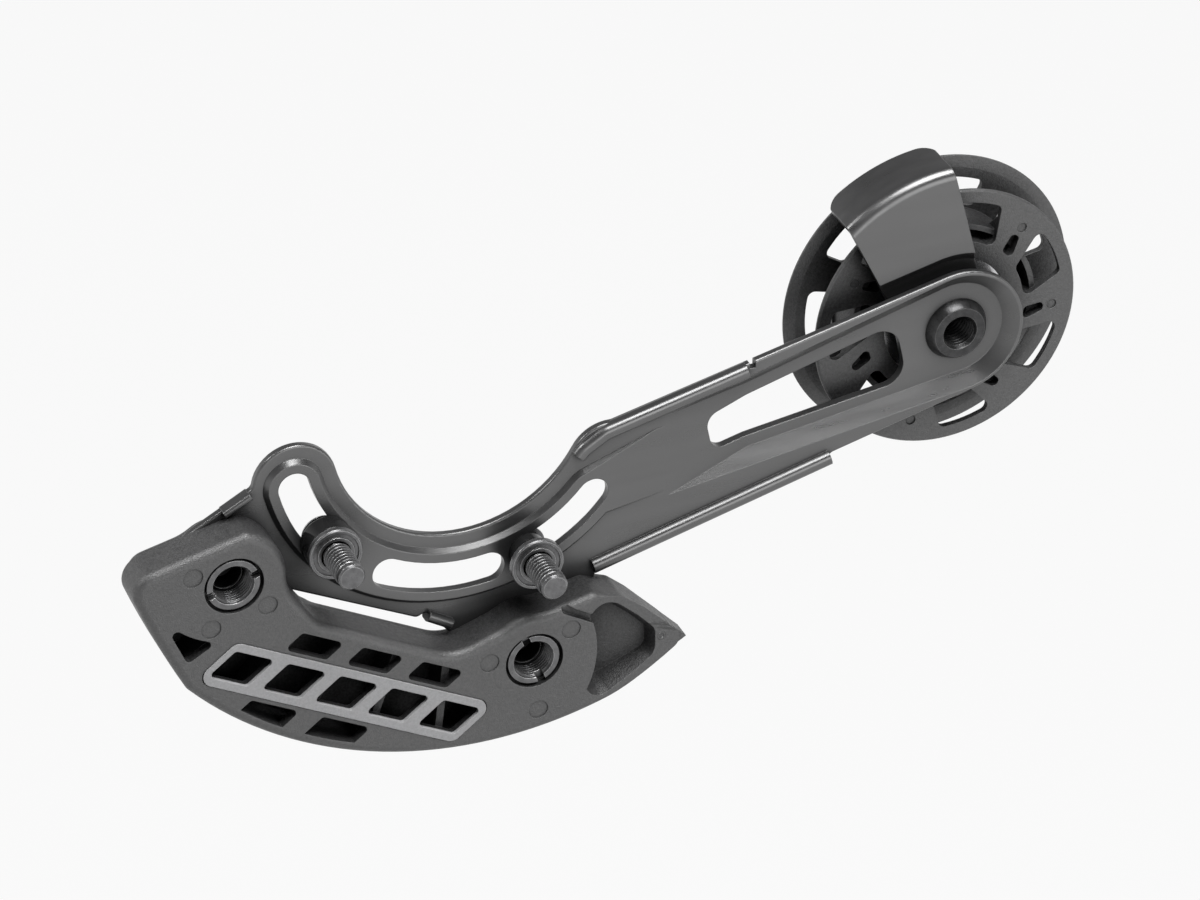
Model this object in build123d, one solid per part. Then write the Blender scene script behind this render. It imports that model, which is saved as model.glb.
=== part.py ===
from build123d import *
from math import acos, atan2, cos, degrees, hypot, radians, sin, tan
import os

# Lower chain guide with an idler pulley, in millimetres.
# The origin is on the bottom bracket axis, on the inboard face of the backplate.
# X runs to the rear of the bicycle, Y outboard along the axle, Z up.

# Backplate: sheet, bottom bracket notch and slotted mounting ring
sheet = 1.8
sheet_edge = 0.45
sheet_corner = 1.5
notch_r = 27.9
ring_r = 45.7
ring_start = 193.2
ring_end = 330.0
slot_circle_r = 37.3
slot_width = 6.8
front_slot_start = 193.4
front_slot_end = 220.0
middle_slot_start = 243.2
middle_slot_end = 277.6
rear_slot_start = 290.5
rear_slot_end = 318.3
pad_rise = 1.0
pad_bevel = 0.9
pad_width = 12.6
pad_fade_start_x = 27.0
pad_fade_end_x = 44.0
pad_tail_x = 44.0
pad_tail_z = -20.5
pad_tail_r = 7.6
web_front_angle = 213.9
web_front_out = 7.3
web_rear_angle = 257.7
web_rear_out = 1.7

# Arm: straight edges that meet a round end about the pulley's axle
axle_x = 110.0
axle_z = -5.8
arm_end_r = 14.3
arm_top_slope = 13.4
arm_bottom_slope = 14.5
arm_root_top_x = 20.5
arm_root_top_z = -18.5
arm_bend_x = 25.6
arm_bend_z = -12.9
arm_shoulder_x = 30.2
arm_root_bottom_x = 27.0
arm_root_bottom_z = -43.0
arm_root_r = 4.3
panel_depth = 2.5
panel_bevel = 3.0
panel_rim = 0.8
panel_tail_x = 40.0
panel_tail_z = -21.2
panel_tail_r = 9.0
panel_fade_start_x = 45.0
panel_fade_end_x = 63.0
arm_window_x = 54.3
arm_window_z = -18.1
arm_window_angle = 12.25
arm_window_length = 44.5
arm_window_start_half = 4.2
arm_window_end_half = 7.1
arm_window_start_corner = 3.0
arm_window_end_corner = 4.8

# Folded hems along the sheet's edges
hem_width = 3.2
hem_rise = 1.5
hem_round = 0.4
hem_overhang = 0.3
hem_bend_r = 3.0
top_hem_start_x = 23.6
top_hem_start_z = -15.0
top_hem_end_x = 62.0
bottom_hem_start_x = 28.0
bottom_hem_end_x = 80.8
bottom_hem_drop = 0.6
front_hem_start = 8.5
front_hem_length = 6.4
front_hem_width = 1.5
rear_ear_angle = 264.0
rear_hem_angle = 259.7
rear_hem_out = 0.9
rear_hem_turn = -31.0
rear_hem_length = 5.9
rear_hem_width = 2.2
relief_width = 1.3
relief_depth = 2.2

# Pulley boss, its bolt and the bearing (12 x 28 x 8)
boss_r = 6.1
boss_base_r = 6.9
boss_height = 2.2
boss_end_gap = 0.2
press_clearance = 0.03
axle_thread_core_r = 3.30
thread_clearance = 0.05
boss_bore_chamfer = 0.5
keeper_sheet = 1.5
spacer_length = 2.0
spacer_r = 8.4
bearing_r = 14.0
bearing_bore_r = 6.0
bearing_width = 8.0
axle_clearance = 0.02
axle_head_r = 8.3
axle_head_height = 3.0
axle_socket = 5.0
axle_socket_depth = 2.2
axle_thread_length = 7.0
ball_r = 2.3
ball_circle_r = 10.0
ball_count = 8
ball_clearance = 0.15
race_wall = 2.3
cage_half = 0.7
cage_reach = 2.95
cage_web = 0.5
seal_thickness = 0.6
seal_inset = 0.3
seal_clearance = 0.3

# Pulley wheel
inboard_flange_r = 29.4
outboard_flange_r = 32.3
pulley_width = 11.0
flange_thickness = 1.3
rim_chamfer = 0.4
rim_bevel = 2.5
rim_bevel_depth = 0.5
drum_r = 20.9
drum_root = 2.8
drum_wall = 1.2
pulley_lead = 0.5
hub_lip_r = 11.6
window_count = 7
inboard_window_in_r = 17.6
inboard_window_out_r = 26.5
inboard_window_start = 2.0
inboard_window_span = 26.5
inboard_window_lean = 9.5
outboard_window_in_r = 21.5
outboard_window_out_r = 27.6
outboard_window_start = 11.5
outboard_window_span = 34.0
wheel_window_corner = 1.5
bean_in_r = 17.9
bean_out_r = 22.4
bean_start = 36.3
bean_span = 10.4
bean_outer_span = 5.2
bean_lean = 7.3
bean_corner = 1.0
bean_depth = 2.0
ejector_ring_r = 24.3
ejector_angle = 46.5
ejector_r = 1.1
ejector_depth = 0.25

# Chain keeper: sheet tab that bends over the rims
keeper_angle = 110.4
keeper_front_half = 9.6
keeper_rear_half = 8.2
keeper_taper = 5.8
keeper_eye_r = 11.0
keeper_joggle = 1.5
keeper_joggle_r = 17.2
keeper_joggle_run = 2.0
keeper_tip_clearance = 3.2
keeper_bend_r = 2.2
keeper_lip_reach = 12.0
keeper_lip_corner = 3.6

# Skid: two moulded halves about the ears of the backplate
front_skid_bolt_x = -52.1
front_skid_bolt_z = -23.4
rear_skid_bolt_x = 11.8
rear_skid_bolt_z = -56.8
front_boss_r = 11.4
rear_boss_r = 10.6
front_ear_r = 10.5
front_ear_root_r = 5.0
rear_ear_r = 8.6
skid_depth = 8.5
skid_face_wall = 2.2
skid_side_wall = 2.4
skid_front_x = -77.0
skid_front_z = -10.0
skid_front_corner = 5.0
skid_side_x = -70.4
skid_side_z = -28.8
skid_low_x = -62.4
skid_low_z = -46.0
skid_bottom_x = 2.0
skid_bottom_z = -74.7
skid_crest_angle = 75.0
skid_top_slope = 13.3
skid_inner_front_x = -40.3
skid_inner_front_z = -28.0
skid_inner_mid_x = -34.2
skid_inner_mid_z = -36.9
skid_inner_rear_x = -5.1
skid_inner_rear_z = -51.9
skid_inner_end_x = 3.4
skid_inner_end_z = -48.9
skid_crown_x = 25.0
skid_crown_z = -44.2
skid_bend_x = 31.5
skid_bend_z = -46.6
skid_slope_x = 37.0
skid_slope_z = -51.3
skid_tip_x = 47.1
skid_tip_z = -61.7
skid_sharp_x = 38.0
skid_corner = 2.6
skid_blend = 9.5
skid_edge = 1.8
skid_end_x = 19.0
skid_tip_slope_start_x = 24.0
skid_tip_depth = 4.5
pocket_floor = 2.6
pocket_wall = 2.4
pocket_left_x = 25.6
pocket_face_r = 22.0
pocket_end_x = 39.6
pocket_corner = 1.8
pocket_taper = 22.0
channel_x = 22.0
channel_z = -48.2
channel_length = 9.0
channel_width = 1.8
channel_angle = -30.0
channel_depth = 1.0
boss_wall = 2.6
rib_thickness = 1.6
rib_angles = (213.0, 225.5, 238.0, 250.5, 263.0)
outer_half_depth = 5.2
outer_half_inset = 0.6
outer_half_shift = 1.6
outer_half_drop = 1.3
outer_half_edge = 1.8
ear_clearance = 0.4

# Trim plate and the windows that line up with it, in a frame tilted with the plate
trim_center_x = -29.1
trim_center_z = -54.5
trim_angle = -27.2
trim_length = 62.0
trim_width = 10.6
trim_slant = 25.7
trim_corner = 2.4
trim_thickness = 0.8
trim_proud = 0.15
trim_clearance = 0.12
trim_slots = 5
trim_slot_length = 9.4
trim_slot_width = 7.0
trim_slot_corner = 1.0
upper_window_length = 10.0
upper_window_width = 4.6
upper_window_offset = 8.4
upper_window_places = (-11.6, 2.8, 17.2)
lower_window_length = 11.5
lower_window_width = 7.0
lower_window_offset = -9.8
lower_window_places = (-15.4, 1.6)
corner_window_x = -68.0
corner_window_z = -26.4
corner_window_wide = 12.0
corner_window_drop = 9.4
corner_window_tall = 13.0
corner_window_foot = 5.6
corner_window_sag = 6.2
window_corner = 1.0
ejector_mark_r = 2.1
ejector_mark_depth = 0.2
ejector_places = (
    (-60.6, -19.6),
    (-57.2, -32.4),
    (-45.2, -29.6),
    (2.0, -55.0),
    (19.9, -51.2),
    (12.6, -68.9),
)

# Skid fasteners: slotted sleeve nuts and the bolts that pull on them
sleeve_r = 5.75
sleeve_bore_r = 4.0
sleeve_recess = 0.35
sleeve_seat_r = 6.3
sleeve_seat_depth = 1.6
sleeve_clearance = 0.08
sleeve_web = 1.0
sleeve_slot_width = 1.7
sleeve_slot_depth = 1.6
front_sleeve_turn = 17.0
rear_sleeve_turn = 108.0
skid_bolt_core_r = 3.95
skid_bolt_end = 3.6
skid_bolt_head_r = 6.2
skid_bolt_head_height = 2.2
skid_bolt_seat = 1.0
skid_bolt_socket = 4.0
skid_bolt_socket_depth = 1.6
skid_hole_clearance = 0.25

# Mounting bolts M6 with their spacers and washers
front_mount_angle = 216.4
rear_mount_angle = 290.8
mount_thread_r = 3.0
mount_shank_r = 2.8
mount_runout = 0.2
mount_tip_y = -16.5
mount_tip_chamfer = 0.6
mount_head_r = 4.6
mount_head_top_r = 3.6
mount_head_height = 1.4
mount_socket = 3.0
mount_socket_depth = 2.4
mount_clearance = 0.15
mount_washer_r = 5.7
mount_washer_thickness = 1.3
mount_washer_edge = 0.25
washer_dish_in_r = 3.9
washer_dish_out_r = 4.9
washer_dish_depth = 0.3
spacer_length_y = 4.9
front_spacer_r = 5.5
rear_spacer_r = 4.0
spacer_chamfer = 0.5


def polar(radius, angle):
    """Point at a radius and angle about the bottom bracket axis."""
    return (radius * cos(radians(angle)), radius * sin(radians(angle)))


def facing(y):
    """Sketch plane at depth y that faces inboard, with X right and Z up."""
    return Plane.XZ.offset(-y)


def slab(sketch, y_inboard, y_outboard):
    """Straight solid of a side-view sketch between two depths."""
    return extrude(facing(y_outboard) * sketch, amount=y_outboard - y_inboard)


def disc(x, z, radius):
    """Round sketch at a place in the side view."""
    return Pos(x, z) * Circle(radius)


def tangent_normal(first, second):
    """Angle of the normal of the line that touches two discs on their right."""
    x, z, radius = first
    next_x, next_z, next_radius = second
    heading = atan2(next_z - z, next_x - x)
    return degrees(heading - acos((radius - next_radius) / hypot(next_x - x, next_z - z)))


def hull(*rounds):
    """Sketch with a tight band round some discs, listed counter-clockwise as x, z and radius."""
    tangents = []
    for index, round_end in enumerate(rounds):
        tangents.append(tangent_normal(round_end, rounds[(index + 1) % len(rounds)]))
    edges = []
    for index, (x, z, radius) in enumerate(rounds):
        start = tangents[index - 1]
        turn = (tangents[index] - start) % 360
        edges.append(CenterArc((x, z), radius, start, turn))
    for index, arc in enumerate(list(edges)):
        edges.append(Line(arc @ 1, edges[(index + 1) % len(rounds)] @ 0))
    return make_face(edges)


def turned(x, z, profile):
    """Solid of revolution about an axle at x, z from radius and depth pairs."""
    plane = Plane(origin=(x, 0, z), x_dir=(1, 0, 0), z_dir=(0, 0, 1))
    face = make_face(Polyline(*profile, close=True))
    return revolve(plane * face, Axis((x, 0, z), (0, 1, 0)), 360)


def socket(x, z, across, y_open, depth):
    """Hexagonal key socket that opens outboard."""
    hexagon = Pos(x, z) * RegularPolygon(across / 2, 6, major_radius=False)
    return slab(hexagon, y_open - depth, y_open)


def save(name, shape):
    """Write one named piece."""
    export_step(shape, f"parts/{name}.step")


# Places that follow from the layout
axle = (axle_x, axle_z)
front_skid_bolt = (front_skid_bolt_x, front_skid_bolt_z)
rear_skid_bolt = (rear_skid_bolt_x, rear_skid_bolt_z)
front_mount = polar(slot_circle_r, front_mount_angle)
rear_mount = polar(slot_circle_r, rear_mount_angle)
ring_mid_r = (notch_r + ring_r) / 2
ear_root = (*polar(ring_mid_r, ring_start), front_ear_root_r)
front_ear = (*front_skid_bolt, front_ear_r)
axle_r = bearing_bore_r - axle_clearance
keeper_y = panel_depth + sheet
race_inboard_y = keeper_y + keeper_sheet + spacer_length
race_outboard_y = race_inboard_y + bearing_width
wheel_inboard_y = race_inboard_y - pulley_lead
wheel_outboard_y = wheel_inboard_y + pulley_width
reach = 60.0


def arm_top(x):
    """Height of the arm's top edge."""
    tangent_x = axle_x - arm_end_r * sin(radians(arm_top_slope))
    tangent_z = axle_z + arm_end_r * cos(radians(arm_top_slope))
    return tangent_z - (tangent_x - x) * tan(radians(arm_top_slope))


def arm_bottom(x):
    """Height of the arm's bottom edge."""
    tangent_x = axle_x + arm_end_r * sin(radians(arm_bottom_slope))
    tangent_z = axle_z - arm_end_r * cos(radians(arm_bottom_slope))
    return tangent_z - (tangent_x - x) * tan(radians(arm_bottom_slope))


def arc_slot(radius, start, end, width):
    """Slot along an arc about the bottom bracket axis."""
    return SlotArc(CenterArc((0, 0), radius, start, end - start), width)


def plate_outline():
    """Side view of the flat sheet with its ears, without slots."""
    ring = arc_slot(ring_mid_r, ring_start, ring_end, ring_r - notch_r)
    web = make_face(
        Polyline(
            ear_root[:2],
            front_skid_bolt,
            polar(ring_r + web_front_out, web_front_angle),
            polar(ring_r + web_rear_out, web_rear_angle),
            polar(ring_mid_r, web_rear_angle),
            close=True,
        )
    )
    rear_ear = hull(
        (*rear_skid_bolt, rear_ear_r),
        (arm_root_bottom_x - arm_root_r / 2, arm_root_bottom_z, arm_root_r),
        (*polar(ring_r - rear_ear_r, rear_ear_angle), rear_ear_r),
    )
    tip_top_x = axle_x - arm_end_r * sin(radians(arm_top_slope))
    tip_bottom_x = axle_x + arm_end_r * sin(radians(arm_bottom_slope))
    arm = make_face(
        Polyline(
            polar(ring_mid_r, rear_slot_start),
            (arm_root_top_x, arm_root_top_z),
            (top_hem_start_x, top_hem_start_z),
            (arm_bend_x, arm_bend_z),
            (arm_shoulder_x, arm_top(arm_shoulder_x)),
            (tip_top_x, arm_top(tip_top_x)),
            (tip_bottom_x, arm_bottom(tip_bottom_x)),
            (bottom_hem_end_x, arm_bottom(bottom_hem_end_x)),
            (bottom_hem_end_x, arm_bottom(bottom_hem_end_x) - bottom_hem_drop),
            (arm_root_bottom_x, arm_root_bottom_z),
            close=True,
        )
    )
    ears = hull(ear_root, front_ear) + rear_ear
    whole = ring + web + ears + arm + disc(*axle, arm_end_r) - Circle(notch_r)
    filled = offset(offset(whole, sheet_corner), -2 * sheet_corner)
    return offset(filled, sheet_corner)


def plate_block(*points):
    """Block right across the plate, from its section in X and Y."""
    section = make_face(Polyline(*points, close=True))
    return extrude(Plane.XY.offset(-2 * reach) * section, amount=4 * reach)


def mounting_pad():
    """Raised land round the slots that fades into the arm."""
    last = polar(slot_circle_r, rear_slot_end)
    band = arc_slot(slot_circle_r, front_slot_start, rear_slot_end, pad_width)
    tail = hull((*last, pad_width / 2), (pad_tail_x, pad_tail_z, pad_tail_r))
    pad = slab(band + tail, -pad_rise, 0)
    pad = chamfer(pad.faces().sort_by(Axis.Y)[0].edges(), pad_bevel)
    fade = plate_block(
        (pad_fade_start_x, -pad_rise),
        (pad_fade_end_x, 0),
        (reach, 0),
        (reach, -reach),
        (pad_fade_start_x, -reach),
    )
    return pad - fade


def arm_dish():
    """Sunken panel of the arm's end, shallow at its tail."""
    sections = []
    for depth, inset in ((0, 0), (panel_depth, panel_bevel)):
        outline = hull(
            (*axle, arm_end_r - panel_rim - inset),
            (panel_tail_x, panel_tail_z, panel_tail_r - inset),
        )
        sections.append(facing(depth) * outline)
    dish = loft(sections, ruled=True)
    fade = plate_block(
        (0, 0),
        (panel_fade_start_x, 0),
        (panel_fade_end_x, panel_depth),
        (panel_fade_end_x, reach),
        (0, reach),
    )
    return dish - fade


def arm_window():
    """Opening of the arm that widens towards the pulley."""
    face = make_face(
        Polyline(
            (0, -arm_window_start_half),
            (arm_window_length, -arm_window_end_half),
            (arm_window_length, arm_window_end_half),
            (0, arm_window_start_half),
            close=True,
        )
    )
    face = fillet(face.vertices().group_by(Axis.X)[0], arm_window_start_corner)
    face = fillet(face.vertices().group_by(Axis.X)[-1], arm_window_end_corner)
    return Pos(arm_window_x, arm_window_z) * Rot(0, 0, arm_window_angle) * face


def hem(points, width):
    """Folded edge that stands proud of the inboard face."""
    if len(points) > 2:
        line = FilletPolyline(*points, radius=hem_bend_r)
    else:
        line = Polyline(*points)
    middle_y = (sheet - hem_rise) / 2
    path = facing(middle_y) * line
    start = Plane(origin=path @ 0, x_dir=(0, 1, 0), z_dir=path % 0)
    section = RectangleRounded(sheet + hem_rise, width, width * hem_round)
    return sweep(start * section, path)


def backplate():
    """Stamped sheet with pad, dish, hems, slots, window and fixing holes."""
    pad = mounting_pad()
    dish = arm_dish()
    through = Pos(0, sheet, 0)
    blank = slab(plate_outline(), 0, sheet)
    rim = blank.faces().filter_by(Axis.Y).edges()
    plate = fillet(rim, sheet_edge) + pad + through * dish
    plate = plate - dish - through * pad

    inset = hem_width / 2 - hem_overhang
    top_line = [
        (top_hem_start_x + inset, top_hem_start_z - inset / 2),
        (arm_bend_x + inset / 2, arm_bend_z - inset),
        (arm_shoulder_x + inset / 2, arm_top(arm_shoulder_x) - inset),
        (top_hem_end_x, arm_top(top_hem_end_x) - inset),
    ]
    bottom_slope = (arm_bottom(bottom_hem_end_x) - bottom_hem_drop - arm_root_bottom_z) / (
        bottom_hem_end_x - arm_root_bottom_x
    )
    bottom_start_z = arm_root_bottom_z + bottom_slope * (bottom_hem_start_x - arm_root_bottom_x)
    bottom_line = [
        (bottom_hem_start_x, bottom_start_z),
        (bottom_hem_end_x, arm_bottom(bottom_hem_end_x) - bottom_hem_drop),
    ]
    normal = tangent_normal(ear_root, front_ear)
    edge_x, edge_z = polar(front_ear_root_r + hem_overhang - front_hem_width / 2, normal)
    front_line = []
    for run in (front_hem_start, front_hem_start + front_hem_length):
        run_x, run_z = polar(run, normal + 90)
        front_line.append((ear_root[0] + edge_x + run_x, ear_root[1] + edge_z + run_z))
    rear_x, rear_z = polar(ring_r + rear_hem_out, rear_hem_angle)
    run_x, run_z = polar(rear_hem_length, rear_hem_turn)
    rear_line = [(rear_x, rear_z), (rear_x + run_x, rear_z + run_z)]
    for line, width in (
        (top_line, hem_width),
        (bottom_line, hem_width),
        (front_line, front_hem_width),
        (rear_line, rear_hem_width),
    ):
        plate += hem(line, width)

    relief = Pos(top_hem_end_x + relief_width, arm_top(top_hem_end_x)) * Rectangle(
        relief_width, relief_depth
    )
    cuts = relief + arm_window() + disc(*axle, axle_r + press_clearance)
    for start, end in (
        (front_slot_start, front_slot_end),
        (middle_slot_start, middle_slot_end),
        (rear_slot_start, rear_slot_end),
    ):
        cuts += arc_slot(slot_circle_r, start, end, slot_width)
    for place in (front_skid_bolt, rear_skid_bolt):
        cuts += disc(*place, skid_bolt_core_r + skid_hole_clearance)
    return plate - slab(cuts, -reach, reach)


def pulley_boss():
    """Sleeve with a collar on the arm's inboard face, which carries the bearing."""
    bore = axle_thread_core_r + thread_clearance
    top = panel_depth - boss_height
    end = race_outboard_y - boss_end_gap
    return turned(
        *axle,
        [
            (bore + boss_bore_chamfer, top),
            (boss_r - boss_bore_chamfer, top),
            (boss_r, top + boss_bore_chamfer),
            (boss_base_r, panel_depth),
            (axle_r, panel_depth),
            (axle_r, end),
            (bore, end),
            (bore, top + boss_bore_chamfer),
        ],
    )


def pulley_bolt():
    """Bolt into the sleeve, whose head holds the bearing on from outboard."""
    head_top = race_outboard_y + axle_head_height
    tip = race_outboard_y - axle_thread_length
    body = turned(
        *axle,
        [
            (0, tip),
            (axle_thread_core_r - boss_bore_chamfer, tip),
            (axle_thread_core_r, tip + boss_bore_chamfer),
            (axle_thread_core_r, race_outboard_y),
            (axle_head_r, race_outboard_y),
            (axle_head_r, head_top - boss_bore_chamfer),
            (axle_head_r - boss_bore_chamfer, head_top),
            (0, head_top),
        ],
    )
    return body - socket(*axle, axle_socket, head_top, axle_socket_depth)


def ring_piece(x, z, inner_r, outer_r, y_inboard, y_outboard):
    """Plain ring about an axle."""
    return slab(disc(x, z, outer_r) - disc(x, z, inner_r), y_inboard, y_outboard)


def ball_groove():
    """Ring swept by the balls, with their running clearance."""
    middle_y = (race_inboard_y + race_outboard_y) / 2
    place = Plane(origin=(axle_x, middle_y, axle_z), x_dir=(1, 0, 0), z_dir=(0, 1, 0))
    return place * Torus(ball_circle_r, ball_r + ball_clearance)


def bearing_race(inner_r, outer_r):
    """One race with its ball groove."""
    return ring_piece(*axle, inner_r, outer_r, race_inboard_y, race_outboard_y) - ball_groove()


def bearing_balls():
    """Balls evenly round the race."""
    middle_y = (race_inboard_y + race_outboard_y) / 2
    balls = []
    for turn in range(ball_count):
        x, z = polar(ball_circle_r, 360 * turn / ball_count)
        balls.append(Pos(axle_x + x, middle_y, axle_z + z) * Sphere(ball_r))
    return Compound(children=balls)


def bearing_cage():
    """Crown cage: a thin web with fingers between the balls."""
    middle_y = (race_inboard_y + race_outboard_y) / 2
    web_y = middle_y - cage_reach
    cage = ring_piece(
        *axle, ball_circle_r - cage_half, ball_circle_r + cage_half, web_y, middle_y
    )
    for turn in range(ball_count):
        x, z = polar(ball_circle_r, 360 * turn / ball_count)
        pocket = disc(axle_x + x, axle_z + z, ball_r + ball_clearance)
        cage -= slab(pocket, web_y + cage_web, middle_y)
    return cage


def bearing_seal(y_inboard):
    """Rubber-faced shield held in the outer race."""
    inner_r = bearing_bore_r + race_wall + seal_clearance
    outer_r = bearing_r - race_wall - press_clearance
    return ring_piece(*axle, inner_r, outer_r, y_inboard, y_inboard + seal_thickness)


def wheel_window(inner_r, outer_r, start, span, outer_span, lean, corner):
    """Rounded opening between two radii, whose sides may lean round the wheel."""
    far = start + lean
    outer = ThreePointArc(
        polar(outer_r, far), polar(outer_r, far + outer_span / 2), polar(outer_r, far + outer_span)
    )
    inner = ThreePointArc(
        polar(inner_r, start + span), polar(inner_r, start + span / 2), polar(inner_r, start)
    )
    face = make_face([outer, inner, Line(outer @ 1, inner @ 0), Line(inner @ 1, outer @ 0)])
    return fillet(face.vertices(), corner)


def pulley_wheel():
    """Moulded wheel: hub, cored drum and two windowed flanges."""
    inboard_in = wheel_inboard_y + flange_thickness
    outboard_in = wheel_outboard_y - flange_thickness
    seat_r = bearing_r + press_clearance
    wheel = turned(
        *axle,
        [
            (seat_r, wheel_inboard_y),
            (inboard_flange_r - rim_chamfer, wheel_inboard_y),
            (inboard_flange_r, wheel_inboard_y + rim_chamfer),
            (inboard_flange_r, inboard_in - rim_bevel_depth),
            (inboard_flange_r - rim_bevel, inboard_in),
            (drum_r + drum_root, inboard_in),
            (drum_r, inboard_in + drum_root),
            (drum_r, outboard_in),
            (outboard_flange_r - rim_bevel, outboard_in),
            (outboard_flange_r, outboard_in + rim_bevel_depth),
            (outboard_flange_r, wheel_outboard_y - rim_chamfer),
            (outboard_flange_r - rim_chamfer, wheel_outboard_y),
            (hub_lip_r, wheel_outboard_y),
            (hub_lip_r, race_outboard_y),
            (seat_r, race_outboard_y),
        ],
    )
    inboard_cuts = Sketch()
    outboard_cuts = Sketch()
    beans = Sketch()
    marks = Sketch()
    pitch = 360 / window_count
    inboard_window = wheel_window(
        inboard_window_in_r,
        inboard_window_out_r,
        inboard_window_start,
        inboard_window_span,
        inboard_window_span,
        inboard_window_lean,
        wheel_window_corner,
    )
    outboard_window = wheel_window(
        outboard_window_in_r,
        outboard_window_out_r,
        outboard_window_start,
        outboard_window_span,
        outboard_window_span,
        0,
        wheel_window_corner,
    )
    bean = wheel_window(
        bean_in_r, bean_out_r, bean_start, bean_span, bean_outer_span, bean_lean, bean_corner
    )
    for turn in range(window_count):
        inboard_cuts += Rot(0, 0, pitch * turn) * inboard_window
        outboard_cuts += Rot(0, 0, pitch * turn) * outboard_window
        beans += Rot(0, 0, pitch * turn) * bean
        if turn % 2 == 0:
            marks += disc(*polar(ejector_ring_r, ejector_angle + pitch * turn), ejector_r)
    cores = (inboard_cuts + beans) & Circle(drum_r - drum_wall)
    for sketch, start, end in (
        (inboard_cuts, wheel_inboard_y, inboard_in),
        (inboard_cuts - Circle(drum_r), wheel_inboard_y, inboard_in + 2 * drum_root),
        (beans, wheel_inboard_y, wheel_inboard_y + bean_depth),
        (cores, wheel_inboard_y, outboard_in),
        (outboard_cuts, outboard_in, wheel_outboard_y),
        (marks, wheel_inboard_y, wheel_inboard_y + ejector_depth),
    ):
        wheel -= slab(Pos(*axle) * sketch, start, end)
    return wheel


def chain_keeper():
    """Sheet tab clamped behind the arm, stepped inboard and bent over the rims."""
    front = keeper_y - keeper_joggle
    lip_r = outboard_flange_r + keeper_tip_clearance
    lip_out_r = lip_r + keeper_sheet
    lip_y = front + keeper_lip_reach
    tab = turned(
        *axle,
        [
            (0, front),
            (lip_out_r, front),
            (lip_out_r, lip_y),
            (lip_r, lip_y),
            (lip_r, front + keeper_sheet),
            (0, front + keeper_sheet),
        ],
    )
    rims = tab.edges().filter_by(GeomType.CIRCLE).group_by(SortBy.RADIUS)[-1]
    tab = fillet(rims.sort_by(Axis.Y)[0], keeper_bend_r)

    back_x = axle_x - lip_out_r * cos(radians(arm_top_slope))
    back_z = axle_z - lip_out_r * sin(radians(arm_top_slope))
    sections = []
    for depth, inset in ((front, 0), (keeper_y, keeper_joggle_run)):
        radius = keeper_joggle_r - inset
        sections.append(facing(depth) * hull((*axle, radius), (back_x, back_z, radius)))
    tray = loft(sections, ruled=True)
    tab = tab + Pos(0, keeper_sheet, 0) * tray - tray

    spread = lip_out_r * tan(radians(keeper_taper))
    strip = make_face(
        Polyline(
            (0, -keeper_rear_half),
            (lip_out_r, -keeper_rear_half - spread),
            (lip_out_r, keeper_front_half + spread),
            (0, keeper_front_half),
            close=True,
        )
    )
    eye = Circle(bearing_bore_r + axle_clearance)
    strip = Pos(*axle) * Rot(0, 0, keeper_angle) * (strip + Circle(keeper_eye_r) - eye)
    tab = tab & slab(strip, -reach, reach)
    across = Vector(sin(radians(keeper_angle)), 0, -cos(radians(keeper_angle)))
    middle = (keeper_rear_half - keeper_front_half) / 2
    outward = Plane(
        origin=Vector(axle_x, 0, axle_z) + across * middle,
        x_dir=across,
        z_dir=(cos(radians(keeper_angle)), 0, sin(radians(keeper_angle))),
    )
    lip_width = keeper_rear_half + keeper_front_half + 2 * spread
    lip_outline = RectangleRounded(lip_width, 2 * lip_y, keeper_lip_corner)
    return tab & extrude(outward * lip_outline, amount=reach, both=True)


def skid_raw_outline():
    """Side view of the skid with sharp corners."""
    low = (skid_low_x, skid_low_z)
    tip = (skid_tip_x, skid_tip_z)
    front = (skid_front_x, skid_front_z)
    side = ThreePointArc(front, (skid_side_x, skid_side_z), low)
    rim = ThreePointArc(low, (skid_bottom_x, skid_bottom_z), tip)
    top = Polyline(
        tip,
        (skid_slope_x, skid_slope_z),
        (skid_bend_x, skid_bend_z),
        (skid_crown_x, skid_crown_z),
        (skid_inner_end_x, skid_inner_end_z),
        (skid_inner_rear_x, skid_inner_rear_z),
        (skid_inner_mid_x, skid_inner_mid_z),
        (skid_inner_front_x, skid_inner_front_z),
        front_skid_bolt,
        (front_skid_bolt_x, skid_front_z),
        front,
    )
    raw = make_face([side, rim, *top.edges()])
    raw += disc(*front_skid_bolt, front_boss_r) + disc(*rear_skid_bolt, rear_boss_r)
    crest = Pos(*front_skid_bolt) * Pos(*polar(front_boss_r, skid_crest_angle))
    above = crest * Rot(0, 0, skid_top_slope) * Pos(-reach, reach) * Rectangle(2 * reach, 2 * reach)
    raw -= above
    return fillet(raw.vertices().sort_by(Axis.X)[0], skid_front_corner)


def skid_outline():
    """Side view of the skid with blended bosses and round corners."""
    filled = offset(offset(skid_raw_outline(), skid_blend), -skid_blend - skid_corner)
    return offset(filled, skid_corner)


def rear_of(x):
    """Sketch that covers everything to the rear of x."""
    return Pos(x + reach, 0) * Rectangle(2 * reach, 4 * reach)


def slanted(length, width, corner):
    """Rounded parallelogram with the trim plate's slant."""
    lean = width / 2 * tan(radians(trim_slant))
    half = length / 2
    face = make_face(
        Polyline(
            (-half - lean, -width / 2),
            (half - lean, -width / 2),
            (half + lean, width / 2),
            (-half + lean, width / 2),
            close=True,
        )
    )
    return fillet(face.vertices(), corner)


def on_trim(along, across, sketch):
    """Sketch placed in the trim plate's tilted frame."""
    return Pos(trim_center_x, trim_center_z) * Rot(0, 0, trim_angle) * Pos(along, across) * sketch


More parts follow.
